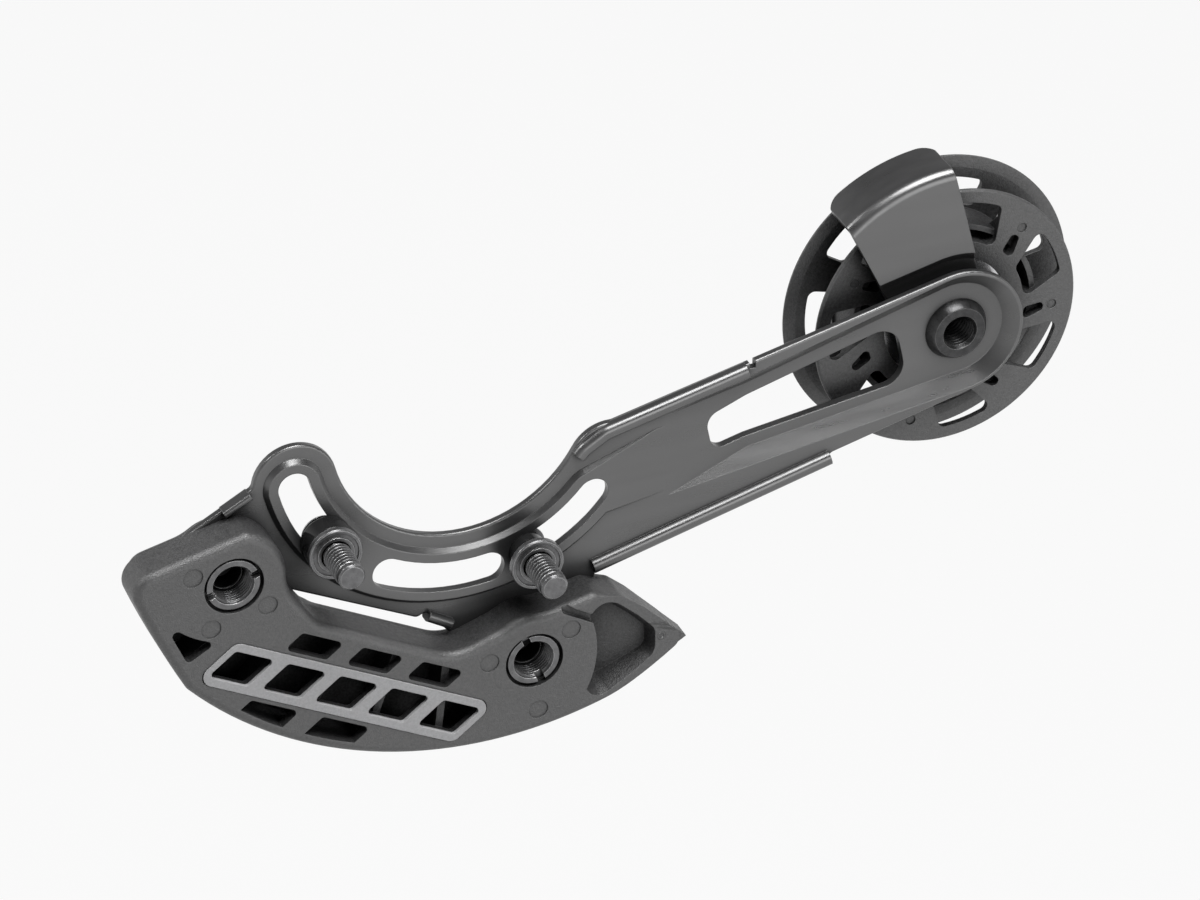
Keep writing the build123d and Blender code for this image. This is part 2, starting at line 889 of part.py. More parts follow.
def trim_slot_row(grow):
    """Equal slots of the trim plate, grown for the windows behind them."""
    row = Sketch()
    pitch = trim_length / trim_slots
    for index in range(trim_slots):
        place = (index - (trim_slots - 1) / 2) * pitch
        slot = slanted(trim_slot_length + grow, trim_slot_width + grow, trim_slot_corner)
        row += on_trim(place, 0, slot)
    return row


def skid_windows(inside):
    """Openings in the skid's inboard face."""
    windows = trim_slot_row(2 * trim_clearance)
    for place in upper_window_places:
        window = slanted(upper_window_length, upper_window_width, window_corner)
        windows += on_trim(place, upper_window_offset, window)
    for place in lower_window_places:
        window = slanted(lower_window_length, lower_window_width, window_corner)
        windows += on_trim(place, lower_window_offset, window) & inside
    hook = Spline(
        (corner_window_x, corner_window_z),
        (corner_window_x + corner_window_foot, corner_window_z - corner_window_sag),
        (corner_window_x + corner_window_wide, corner_window_z - corner_window_drop),
    )
    foot = (corner_window_x + corner_window_foot, corner_window_z - corner_window_tall)
    corner = make_face([hook, Line(hook @ 1, foot), Line(foot, hook @ 0)])
    return windows + fillet(corner.vertices(), window_corner)


def skid_inner_half():
    """Hollow moulded half with bosses, ribs, windows and an open end pocket."""
    outline = skid_outline()
    inside = offset(outline, -skid_side_wall)
    face_y = -skid_depth
    body = slab(outline, face_y, 0)
    body = fillet(body.faces().sort_by(Axis.Y)[0].edges(), skid_edge)

    tip = skid_raw_outline() & rear_of(skid_sharp_x)
    body += slab(tip, -skid_tip_depth, 0)
    face_zone = disc(pocket_left_x - pocket_face_r, rear_skid_bolt_z, pocket_face_r)
    end_zone = rear_of(skid_end_x) - face_zone
    slope = plate_block(
        (skid_tip_slope_start_x, -skid_depth),
        (skid_tip_x, -skid_tip_depth),
        (skid_tip_x, -reach),
        (skid_tip_slope_start_x, -reach),
    )
    body -= slope & slab(end_zone, 2 * face_y, 0)
    hollow = (offset(outline, -pocket_wall) & end_zone) - rear_of(pocket_end_x)
    floor = offset(offset(hollow, -pocket_corner - pocket_wall / 2), pocket_corner)
    pocket = extrude(facing(-pocket_floor) * floor, amount=skid_depth, taper=-pocket_taper)
    body -= pocket - slab(face_zone, 2 * face_y, 0)
    channel = Pos(channel_x, channel_z) * Rot(0, 0, channel_angle) * SlotOverall(
        channel_length, channel_width
    )
    body -= slab(channel, 2 * face_y, face_y + channel_depth)

    solid_r = sleeve_r + sleeve_clearance + boss_wall
    wall_zone = disc(
        pocket_left_x - pocket_face_r, rear_skid_bolt_z, pocket_face_r - skid_side_wall
    )
    cavity = inside - (rear_of(rear_skid_bolt_x) - wall_zone)
    cavity -= disc(*front_skid_bolt, solid_r) + disc(*rear_skid_bolt, solid_r)
    for angle in rib_angles:
        rib = Rot(0, 0, angle) * Pos(reach, 0) * Rectangle(2 * reach, rib_thickness)
        cavity -= rib
    body -= slab(cavity, face_y + skid_face_wall, 0)

    grow = 2 * trim_clearance
    recess = on_trim(0, 0, slanted(trim_length + grow, trim_width + grow, trim_corner))
    body -= slab(recess, 2 * face_y, face_y + trim_thickness - trim_proud)
    body -= slab(skid_windows(inside), 2 * face_y, face_y + skid_face_wall)
    for place in (front_skid_bolt, rear_skid_bolt):
        body -= slab(disc(*place, sleeve_seat_r), 2 * face_y, face_y + sleeve_seat_depth)
        body -= slab(disc(*place, sleeve_r + sleeve_clearance), 2 * face_y, -sleeve_web)
        body -= slab(disc(*place, skid_bolt_core_r + skid_hole_clearance), 2 * face_y, 0)
    marks = Sketch()
    for place in ejector_places:
        marks += disc(*place, ejector_mark_r)
    return body - slab(marks, 2 * face_y, face_y + ejector_mark_depth)


def skid_outer_half():
    """Plain half behind the ears, with sunk bolt seats."""
    whole = skid_outline()
    shifted = Pos(outer_half_shift, -outer_half_drop) * whole
    shape = offset(whole & shifted, -outer_half_inset)
    for place in (front_skid_bolt, rear_skid_bolt):
        shape += disc(*place, skid_bolt_head_r + skid_hole_clearance + boss_wall)
    filled = offset(offset(shape, skid_blend), -skid_blend - skid_corner)
    outline = offset(filled, skid_corner)
    body = slab(outline, 0, outer_half_depth)
    body = fillet(body.faces().sort_by(Axis.Y)[-1].edges(), outer_half_edge)
    body -= slab(offset(plate_outline(), ear_clearance), 0, sheet)
    for place in (front_skid_bolt, rear_skid_bolt):
        head = disc(*place, skid_bolt_head_r + skid_hole_clearance)
        body -= slab(head, sheet + skid_bolt_seat, 2 * outer_half_depth)
        body -= slab(disc(*place, skid_bolt_core_r + skid_hole_clearance), 0, outer_half_depth)
    return body


def skid_trim_plate():
    """Thin inlay with a row of equal slots."""
    plate = on_trim(0, 0, slanted(trim_length, trim_width, trim_corner)) - trim_slot_row(0)
    top = -skid_depth - trim_proud
    return slab(plate, top, top + trim_thickness)


def sleeve_nut(place, turn):
    """Threaded sleeve with two driver slots in its inboard end."""
    top = sleeve_recess - skid_depth
    bore = sleeve_bore_r
    nut = turned(
        *place,
        [
            (bore + boss_bore_chamfer, top),
            (sleeve_r, top),
            (sleeve_r, -sleeve_web),
            (bore, -sleeve_web),
            (bore, top + boss_bore_chamfer),
        ],
    )
    slot = Pos(*place) * Rot(0, 0, turn) * Rectangle(3 * sleeve_r, sleeve_slot_width)
    return nut - slab(slot, 2 * top, top + sleeve_slot_depth)


def skid_bolt(place):
    """Bolt from the outboard side into a sleeve nut."""
    seat = sheet + skid_bolt_seat
    head_top = seat + skid_bolt_head_height
    body = turned(
        *place,
        [
            (0, -skid_bolt_end),
            (skid_bolt_core_r - boss_bore_chamfer, -skid_bolt_end),
            (skid_bolt_core_r, boss_bore_chamfer - skid_bolt_end),
            (skid_bolt_core_r, seat),
            (skid_bolt_head_r, seat),
            (skid_bolt_head_r, head_top - boss_bore_chamfer),
            (skid_bolt_head_r - boss_bore_chamfer, head_top),
            (0, head_top),
        ],
    )
    return body - socket(*place, skid_bolt_socket, head_top, skid_bolt_socket_depth)


def mount_bolt(place):
    """M6 bolt with a low head outboard, a thinner shank and its thread to the frame."""
    seat = sheet - pad_rise
    shank_end = -pad_rise - spacer_length_y - mount_washer_thickness - mount_runout
    head_top = seat + mount_head_height
    body = turned(
        *place,
        [
            (0, mount_tip_y),
            (mount_thread_r - mount_tip_chamfer, mount_tip_y),
            (mount_thread_r, mount_tip_y + mount_tip_chamfer),
            (mount_thread_r, shank_end),
            (mount_shank_r, shank_end),
            (mount_shank_r, seat),
            (mount_head_r, seat),
            (mount_head_top_r, head_top),
            (0, head_top),
        ],
    )
    return body - socket(*place, mount_socket, head_top, mount_socket_depth)


def mount_spacer(place, radius):
    """Sleeve between the pad and the washer."""
    bore = mount_thread_r + mount_clearance
    top = -pad_rise - spacer_length_y
    return turned(
        *place,
        [
            (bore, top),
            (radius - spacer_chamfer, top),
            (radius, top + spacer_chamfer),
            (radius, -pad_rise),
            (bore, -pad_rise),
        ],
    )


def mount_washer(place):
    """Washer that bears on the frame, with a shallow dished ring."""
    bore = mount_thread_r + mount_clearance
    back = -pad_rise - spacer_length_y
    top = back - mount_washer_thickness
    return turned(
        *place,
        [
            (bore, top),
            (washer_dish_in_r, top),
            (washer_dish_in_r, top + washer_dish_depth),
            (washer_dish_out_r, top + washer_dish_depth),
            (washer_dish_out_r, top),
            (mount_washer_r - mount_washer_edge, top),
            (mount_washer_r, top + mount_washer_edge),
            (mount_washer_r, back),
            (bore, back),
        ],
    )


os.makedirs("parts", exist_ok=True)
save("backplate", backplate())
save("pulley_boss", pulley_boss())
save("pulley_bolt", pulley_bolt())
save(
    "pulley_spacer",
    ring_piece(
        *axle,
        bearing_bore_r + axle_clearance,
        spacer_r,
        keeper_y + keeper_sheet,
        race_inboard_y,
    ),
)
save("bearing_outer_race", bearing_race(bearing_r - race_wall, bearing_r))
save("bearing_inner_race", bearing_race(bearing_bore_r, bearing_bore_r + race_wall))
save("bearing_balls", bearing_balls())
save("bearing_cage", bearing_cage())
save("bearing_inboard_seal", bearing_seal(race_inboard_y + seal_inset))
save("bearing_outboard_seal", bearing_seal(race_outboard_y - seal_inset - seal_thickness))
save("pulley_wheel", pulley_wheel())
save("chain_keeper", chain_keeper())
save("skid_inner_half", skid_inner_half())
save("skid_outer_half", skid_outer_half())
save("skid_trim_plate", skid_trim_plate())
for end, bolt_place, nut_turn, mount_place, sleeve in (
    ("front", front_skid_bolt, front_sleeve_turn, front_mount, front_spacer_r),
    ("rear", rear_skid_bolt, rear_sleeve_turn, rear_mount, rear_spacer_r),
):
    save(f"sleeve_nut_{end}", sleeve_nut(bolt_place, nut_turn))
    save(f"skid_bolt_{end}", skid_bolt(bolt_place))
    save(f"mount_bolt_{end}", mount_bolt(mount_place))
    save(f"mount_spacer_{end}", mount_spacer(mount_place, sleeve))
    save(f"mount_washer_{end}", mount_washer(mount_place))
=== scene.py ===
from math import atan2, cos, hypot, pi, radians, sin

import bmesh
import bpy
from mathutils import Matrix, Vector


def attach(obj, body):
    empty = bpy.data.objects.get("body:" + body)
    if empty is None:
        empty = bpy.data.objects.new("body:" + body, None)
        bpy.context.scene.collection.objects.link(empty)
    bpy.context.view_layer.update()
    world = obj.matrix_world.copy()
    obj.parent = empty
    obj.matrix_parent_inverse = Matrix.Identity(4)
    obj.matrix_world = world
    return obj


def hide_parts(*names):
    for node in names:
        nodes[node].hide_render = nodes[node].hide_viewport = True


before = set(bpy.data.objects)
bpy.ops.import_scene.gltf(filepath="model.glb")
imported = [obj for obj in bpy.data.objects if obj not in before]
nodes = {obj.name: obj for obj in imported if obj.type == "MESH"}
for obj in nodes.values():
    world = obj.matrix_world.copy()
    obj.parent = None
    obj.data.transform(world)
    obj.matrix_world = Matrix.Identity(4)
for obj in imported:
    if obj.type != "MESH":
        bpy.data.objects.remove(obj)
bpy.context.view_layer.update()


# Backplate: one steel sheet, stamped with a raised land round the slots and a sunken panel
# in the arm, its long edges folded over. It is dipped in a satin black coat, lightened on the
# edges where it thins and as a painted highlight, with its reflections dimmed in hollows as
# painted shade; the press leaves faint draw lines along the arm.
mm = 0.001
blue_lean = 1.02


def new_material(name):
    """Empty node material and its principled shader."""
    material = bpy.data.materials.new(name)
    material.use_nodes = True
    return material, material.node_tree, material.node_tree.nodes["Principled BSDF"]


def noise(tree, scale, detail=3.0, stretch=(1, 1, 1), turn=0.0):
    """Noise in the part's own frame, in cycles per metre, stretched along a turned X axis."""
    coords = tree.nodes.new("ShaderNodeTexCoord")
    mapping = tree.nodes.new("ShaderNodeMapping")
    mapping.inputs["Rotation"].default_value = (0, turn, 0)
    mapping.inputs["Scale"].default_value = stretch
    texture = tree.nodes.new("ShaderNodeTexNoise")
    texture.inputs["Scale"].default_value = scale
    texture.inputs["Detail"].default_value = detail
    tree.links.new(coords.outputs["Object"], mapping.inputs["Vector"])
    tree.links.new(mapping.outputs["Vector"], texture.inputs["Vector"])
    return texture.outputs["Fac"]


def spread(tree, value, low, high, start=0.3, end=0.7):
    """Stretch a value over a range."""
    node = tree.nodes.new("ShaderNodeMapRange")
    node.inputs["From Min"].default_value = start
    node.inputs["From Max"].default_value = end
    node.inputs["To Min"].default_value = low
    node.inputs["To Max"].default_value = high
    tree.links.new(value, node.inputs["Value"])
    return node.outputs["Result"]


def tone(tree, value, dark, light, start=0.3, end=0.7):
    """Blend two greys, which lean slightly blue, by a value."""
    ramp = tree.nodes.new("ShaderNodeValToRGB")
    ramp.color_ramp.elements[0].position = start
    ramp.color_ramp.elements[0].color = (dark, dark, dark * blue_lean, 1)
    ramp.color_ramp.elements[1].position = end
    ramp.color_ramp.elements[1].color = (light, light, light * blue_lean, 1)
    tree.links.new(value, ramp.inputs["Fac"])
    return ramp.outputs["Color"]


def soft_edges(tree, radius):
    """Normal that rolls over the edges, and how near a point is to an edge."""
    bevel = tree.nodes.new("ShaderNodeBevel")
    bevel.samples = 6
    bevel.inputs["Radius"].default_value = radius
    geometry = tree.nodes.new("ShaderNodeNewGeometry")
    match = tree.nodes.new("ShaderNodeVectorMath")
    match.operation = "DOT_PRODUCT"
    tree.links.new(bevel.outputs["Normal"], match.inputs[0])
    tree.links.new(geometry.outputs["Normal"], match.inputs[1])
    return bevel.outputs["Normal"], spread(tree, match.outputs["Value"], 1.0, 0.0, 0.80, 0.99)


def wear_and_painted_light(tree, colour, mask, wear_and_painted_light_grey, amount):
    """Blend a colour towards a grey by a mask: the callers lighten edges, for wear and as a painted
    highlight, and darken hollows as painted shade.
    """
    mix = tree.nodes.new("ShaderNodeMix")
    mix.data_type = "RGBA"
    tree.links.new(spread(tree, mask, 0.0, amount, 0.0, 1.0), mix.inputs["Factor"])
    tree.links.new(colour, mix.inputs["A"])
    mix.inputs["B"].default_value = (wear_and_painted_light_grey, wear_and_painted_light_grey, wear_and_painted_light_grey, 1)
    return mix.outputs["Result"]


def painted_hollow_shade(tree, shader, reach):
    """Dim the reflections in hollows by ambient occlusion, as painted shade; returns how open a
    point is.
    """
    hollow = tree.nodes.new("ShaderNodeAmbientOcclusion")
    hollow.samples = 8
    hollow.inputs["Distance"].default_value = reach
    tree.links.new(spread(tree, hollow.outputs["AO"], 0.05, 0.5, 0.50, 0.95),
                   shader.inputs["Specular IOR Level"])
    return hollow.outputs["AO"]


def raised(tree, normal, value, distance, strength):
    """Normal raised by a value, in metres."""
    bump = tree.nodes.new("ShaderNodeBump")
    bump.inputs["Distance"].default_value = distance
    bump.inputs["Strength"].default_value = strength
    tree.links.new(value, bump.inputs["Height"])
    tree.links.new(normal, bump.inputs["Normal"])
    return bump.outputs["Normal"]


def satin_black_coat():
    """Dipped black coat on steel, whose shine varies along faint draw lines."""
    material, tree, shader = new_material("satin_black_coat")
    shader.inputs["IOR"].default_value = 2.05
    # Painted shade: the coat's reflections are dimmed in hollows.
    painted_hollow_shade(tree, shader, 8 * mm)
    normal, edge = soft_edges(tree, 0.3 * mm)
    cloud = tone(tree, noise(tree, 60.0, 4.0), 0.018, 0.026)
    # Edges lighter, where the coat thins and as a painted highlight.
    tree.links.new(wear_and_painted_light(tree, cloud, edge, 0.14, 0.55), shader.inputs["Base Color"])
    arm_slope = radians(13)
    drawn = noise(tree, 420.0, 3.0, (0.06, 1, 1), arm_slope)
    tree.links.new(spread(tree, drawn, 0.26, 0.36), shader.inputs["Roughness"])
    tree.links.new(normal, shader.inputs["Normal"])
    return material


def dress(names, material):
    """Give some CAD nodes one finish."""
    for name in names:
        surface = nodes[name].data
        surface.materials.clear()
        surface.materials.append(material)


black_coat = satin_black_coat()
dress(["backplate"], black_coat)


# Pulley boss: a flanged steel sleeve, turned and blackened, pressed through the arm's end.
# It is threaded inside for the bolt that holds the bearing on.
axle = (110.0, -5.8)
boss_bore_r = 3.35
boss_sleeve_r = 5.98
boss_flange_r = 6.9
boss_front_y = 0.3
boss_seat_y = 2.5
boss_end_y = 15.6
boss_thread_end_y = 12.0


def turned_rings(profile, pitch):
    """Rings of a turned profile, with close rings along each threaded stretch."""
    rings = []
    for radius, depth, kind in profile:
        if kind == "thread" and rings and rings[-1][2] == "thread":
            last_radius, last_depth, _ = rings[-1]
            steps = max(1, round(abs(depth - last_depth) / pitch * 12))
            for step in range(1, steps):
                part = step / steps
                rings.append((last_radius + (radius - last_radius) * part,
                              last_depth + (depth - last_depth) * part, "thread"))
        rings.append((radius, depth, kind))
    return rings


def turned_mesh(name, place, profile, loop=False, pitch=1.0, around=72):
    """Closed turned mesh from radius, depth and kind of each ring, in millimetres."""
    rings = turned_rings(profile, pitch)
    build = bmesh.new()
    cut = build.verts.layers.float.new("thread")
    rows = []
    for radius, depth, kind in rings:
        if radius == 0:
            rows.append([build.verts.new((place[0] * mm, depth * mm, place[1] * mm))])
            continue
        row = []
        for turn in range(around):
            angle = 2 * pi * turn / around
            reach = radius
            if kind == "hex":
                reach = radius / cos((angle % (pi / 3)) - pi / 6)
            vertex = build.verts.new(((place[0] + reach * cos(angle)) * mm, depth * mm,
                                      (place[1] + reach * sin(angle)) * mm))
            vertex[cut] = 1.0 if kind == "thread" else 0.0
            row.append(vertex)
        rows.append(row)
    pairs = list(zip(rows, rows[1:]))
    if loop:
        pairs.append((rows[-1], rows[0]))
    for first, second in pairs:
        for turn in range(around):
            after = (turn + 1) % around
            if len(first) == 1:
                build.faces.new((first[0], second[turn], second[after]))
            elif len(second) == 1:
                build.faces.new((first[turn], first[after], second[0]))
            else:
                build.faces.new((first[turn], first[after], second[after], second[turn]))
    bmesh.ops.recalc_face_normals(build, faces=build.faces)
    mesh = bpy.data.meshes.new(name)
    build.to_mesh(mesh)
    build.free()
    piece = bpy.data.objects.new(name, mesh)
    bpy.context.scene.collection.objects.link(piece)
    return piece


def add_socket(tree, name, kind):
    """Named input of a geometry tree."""
    return tree.interface.new_socket(name, in_out="INPUT", socket_type=kind)


def math_node(tree, operation, first, second=None, clamp=False):
    """One step of arithmetic in a node tree, from sockets or plain numbers."""
    node = tree.nodes.new("ShaderNodeMath")
    node.operation = operation
    node.use_clamp = clamp
    for slot, value in zip(node.inputs, (first, second)):
        if value is None:
            continue
        if isinstance(value, (int, float)):
            slot.default_value = value
        else:
            tree.links.new(value, slot)
    return node.outputs[0]


def screw_thread_tree():
    """Tree that cuts a helical V thread into the marked rings of a turned piece."""
    groove_slope = 2.6
    crest_flat = 0.15
    tree = bpy.data.node_groups.new("screw_thread", "GeometryNodeTree")
    sockets = {"Geometry": add_socket(tree, "Geometry", "NodeSocketGeometry")}
    for name in ("Axis X", "Axis Z", "Start", "End", "Pitch", "Depth", "Runout"):
        sockets[name] = add_socket(tree, name, "NodeSocketFloat")
    sockets["Finish"] = add_socket(tree, "Finish", "NodeSocketMaterial")
    tree.interface.new_socket("Geometry", in_out="OUTPUT", socket_type="NodeSocketGeometry")
    given = tree.nodes.new("NodeGroupInput").outputs
    result = tree.nodes.new("NodeGroupOutput")
    place = tree.nodes.new("ShaderNodeSeparateXYZ")
    position = tree.nodes.new("GeometryNodeInputPosition")
    tree.links.new(position.outputs["Position"], place.inputs[0])
    across = math_node(tree, "SUBTRACT", place.outputs["X"], given["Axis X"])
    up = math_node(tree, "SUBTRACT", place.outputs["Z"], given["Axis Z"])
    turn = math_node(tree, "DIVIDE", math_node(tree, "ARCTAN2", up, across), 2 * pi)
    along = math_node(tree, "SUBTRACT", place.outputs["Y"], given["Start"])
    phase = math_node(tree, "ADD", math_node(tree, "DIVIDE", along, given["Pitch"]), turn)
    saw = math_node(tree, "SUBTRACT", math_node(tree, "FRACT", phase), 0.5)
    flank = math_node(tree, "MULTIPLY", math_node(tree, "ABSOLUTE", saw), groove_slope)
    flank = math_node(tree, "SUBTRACT", flank, crest_flat, clamp=True)
    left = math_node(tree, "SUBTRACT", given["End"], place.outputs["Y"])
    near_end = math_node(tree, "MINIMUM", along, left)
    fade = math_node(tree, "DIVIDE", near_end, given["Runout"], clamp=True)
    amount = math_node(tree, "MULTIPLY", math_node(tree, "MULTIPLY", flank, fade), given["Depth"])
    mark = tree.nodes.new("GeometryNodeInputNamedAttribute")
    mark.data_type = "FLOAT"
    mark.inputs["Name"].default_value = "thread"
    amount = math_node(tree, "MULTIPLY", amount, mark.outputs["Attribute"])
    outward = tree.nodes.new("ShaderNodeCombineXYZ")
    tree.links.new(across, outward.inputs["X"])
    tree.links.new(up, outward.inputs["Z"])
    unit = tree.nodes.new("ShaderNodeVectorMath")
    unit.operation = "NORMALIZE"
    tree.links.new(outward.outputs[0], unit.inputs[0])
    shift = tree.nodes.new("ShaderNodeVectorMath")
    shift.operation = "SCALE"
    tree.links.new(unit.outputs[0], shift.inputs[0])
    tree.links.new(amount, shift.inputs["Scale"])
    move = tree.nodes.new("GeometryNodeSetPosition")
    tree.links.new(given["Geometry"], move.inputs["Geometry"])
    tree.links.new(shift.outputs[0], move.inputs["Offset"])
    real = tree.nodes.new("GeometryNodeRealizeInstances")
    tree.links.new(move.outputs[0], real.inputs[0])
    finish = tree.nodes.new("GeometryNodeSetMaterial")
    tree.links.new(real.outputs[0], finish.inputs["Geometry"])
    tree.links.new(given["Finish"], finish.inputs["Material"])
    tree.links.new(finish.outputs[0], result.inputs[0])
    return tree, {name: socket.identifier for name, socket in sockets.items()}


screw_tree, screw_inputs = screw_thread_tree()


def settle(piece, angle=35.0):
    """Turn the modified piece into a plain mesh with crisp corners."""
    live = piece.evaluated_get(bpy.context.evaluated_depsgraph_get())
    plain = bpy.data.meshes.new_from_object(live)
    piece.modifiers.clear()
    piece.data = plain
    plain.shade_smooth()
    plain.set_sharp_from_angle(angle=radians(angle))


def cut_thread(piece, place, start, end, pitch, depth, runout, material):
    """Cut a thread between two depths, inward for a negative depth."""
    cutter = piece.modifiers.new("screw_thread", "NODES")
    cutter.node_group = screw_tree
    sizes = {"Axis X": place[0], "Axis Z": place[1], "Start": start, "End": end,
             "Pitch": pitch, "Depth": depth, "Runout": runout}
    for name, value in sizes.items():
        cutter[screw_inputs[name]] = value * mm
    cutter[screw_inputs["Finish"]] = material
    settle(piece)


def black_oxide(name, dark, light, bare_and_highlight_grey, reach):
    """Oiled black oxide on turned steel, with the steel showing on the edges, lightened further as
    a painted highlight, and painted shade darkening the hollows.
    """
    material, tree, shader = new_material(name)
    shader.inputs["Metallic"].default_value = 0.75
    normal, edge = soft_edges(tree, 0.22 * mm)
    # Painted shade in hollows: dimmer reflections here, and a darker colour below.
    painted_shade_mask = spread(tree, painted_hollow_shade(tree, shader, reach), 1.0, 0.0, 0.45, 0.90)
    # Edges lighter, as worn-through steel and as a painted highlight.
    cloud = wear_and_painted_light(tree, tone(tree, noise(tree, 700.0, 4.0), dark, light), edge, bare_and_highlight_grey, 0.8)
    # Painted shade: the colour darkens towards black in hollows.
    tree.links.new(wear_and_painted_light(tree, cloud, painted_shade_mask, 0.008, 0.9), shader.inputs["Base Color"])
    tree.links.new(spread(tree, noise(tree, 1600.0, 2.0), 0.26, 0.40), shader.inputs["Roughness"])
    tree.links.new(raised(tree, normal, noise(tree, 2400.0, 2.0), 0.02 * mm, 0.3),
                   shader.inputs["Normal"])
    return material


oxide = black_oxide("black_oxide", 0.035, 0.060, 0.30, 4 * mm)
boss = turned_mesh("threaded_boss", axle, [
    (boss_bore_r + 0.5, boss_front_y, ""), (boss_flange_r - 1.3, boss_front_y, ""),
    (boss_flange_r - 0.8, boss_front_y + 0.5, ""), (boss_flange_r, boss_seat_y, ""),
    (boss_sleeve_r, boss_seat_y, ""), (boss_sleeve_r, boss_end_y, ""),
    (boss_bore_r, boss_end_y, ""), (boss_bore_r, boss_thread_end_y, "thread"),
    (boss_bore_r, boss_front_y + 0.5, "thread")], loop=True)
cut_thread(boss, axle, start=boss_front_y + 0.3, end=boss_thread_end_y, pitch=1.0, depth=0.5,
           runout=0.4, material=oxide)
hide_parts("pulley_boss")
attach(boss, "guide")


# Chain keeper: a bent sheet-steel tab that reaches over the pulley's rims. It is clamped on the
# boss, behind the arm, and has the backplate's coat.
dress(["chain_keeper"], black_coat)


# Pulley spacer and bearing: ground steel rings and balls, a moulded cage between the balls
# and rubber-faced shields pressed into the outer ring.
def ground_steel():
    """Bright ground steel with fine grinding lines round the ring."""
    material, tree, shader = new_material("ground_steel")
    shader.inputs["Metallic"].default_value = 1.0
    tree.links.new(tone(tree, noise(tree, 90.0, 2.0), 0.60, 0.68), shader.inputs["Base Color"])
    tree.links.new(spread(tree, noise(tree, 2400.0, 2.0, (1, 6, 1)), 0.16, 0.24),
                   shader.inputs["Roughness"])
    return material


def plain_moulding(name, dark, light, rough):
    """Small moulded part with a smooth skin."""
    material, tree, shader = new_material(name)
    tree.links.new(tone(tree, noise(tree, 900.0, 3.0), dark, light), shader.inputs["Base Color"])
    tree.links.new(spread(tree, noise(tree, 1800.0, 2.0), rough - 0.05, rough + 0.05),
                   shader.inputs["Roughness"])
    return material


steel = ground_steel()
dress(["pulley_spacer", "bearing_outer_race", "bearing_inner_race", "bearing_balls"], steel)
dress(["bearing_cage"], plain_moulding("cage_nylon", 0.42, 0.50, 0.5))
dress(["bearing_inboard_seal", "bearing_outboard_seal"],
      plain_moulding("seal_rubber", 0.020, 0.028, 0.6))


# Pulley wheel: moulded in glass-filled black nylon with two flanges of unequal size, pressed
# on the bearing. The mould's spark texture gives its faces a fine dull grain.
def grained_nylon(name):
    """Glass-filled black nylon with a fine moulded grain."""
    material, tree, shader = new_material(name)
    shader.inputs["IOR"].default_value = 1.85
    # Painted shade: the nylon's reflections are dimmed in hollows.
    painted_hollow_shade(tree, shader, 12 * mm)
    normal, edge = soft_edges(tree, 0.3 * mm)
    mottle = tone(tree, noise(tree, 1800.0, 5.0), 0.018, 0.042)
    # Edges lighter, for scuffing and as a painted highlight.
    tree.links.new(wear_and_painted_light(tree, mottle, edge, 0.14, 0.5), shader.inputs["Base Color"])
    tree.links.new(spread(tree, noise(tree, 1200.0), 0.42, 0.55), shader.inputs["Roughness"])
    normal = raised(tree, normal, noise(tree, 3200.0, 4.0), 0.16 * mm, 0.8)
    tree.links.new(normal, shader.inputs["Normal"])
    return material, tree, shader, normal


wheel_nylon = grained_nylon("wheel_nylon")[0]
dress(["pulley_wheel"], wheel_nylon)


# Pulley bolt: a low-headed steel bolt, blackened, screwed into the boss from outboard. Its
# head holds the bearing's inner ring on the boss.
dress(["pulley_bolt"], oxide)


# Skid: two moulded nylon halves screwed together about the backplate's ears. The inner half
# has a small pin mark and two creases at its tip, left by the mould.
pin_mark = (41.2, -59.7)
tip_creases = [((37.9, -55.4), (44.0, -57.9)), ((39.9, -57.0), (45.0, -59.4))]


def crease(tree, start, end, width):
    """Height of a thin ridge along a straight line in the skid's face, in millimetres."""
    across, up = end[0] - start[0], end[1] - start[1]
    coords = tree.nodes.new("ShaderNodeTexCoord")
    local = tree.nodes.new("ShaderNodeMapping")
    local.vector_type = "TEXTURE"
    local.inputs["Location"].default_value = (start[0] * mm, 0, start[1] * mm)
    local.inputs["Rotation"].default_value = (0, -atan2(up, across), 0)
    tree.links.new(coords.outputs["Object"], local.inputs["Vector"])
    parts = tree.nodes.new("ShaderNodeSeparateXYZ")
    tree.links.new(local.outputs["Vector"], parts.inputs[0])
    ridge = spread(tree, math_node(tree, "ABSOLUTE", parts.outputs["Z"]), 1.0, 0.0, 0.0, width * mm)
    length, fade = hypot(across, up), 0.8
    fade_in = spread(tree, parts.outputs["X"], 0.0, 1.0, 0.0, fade * mm)
    fade_out = spread(tree, parts.outputs["X"], 1.0, 0.0, (length - fade) * mm, length * mm)
    return math_node(tree, "MULTIPLY", ridge, math_node(tree, "MULTIPLY", fade_in, fade_out))


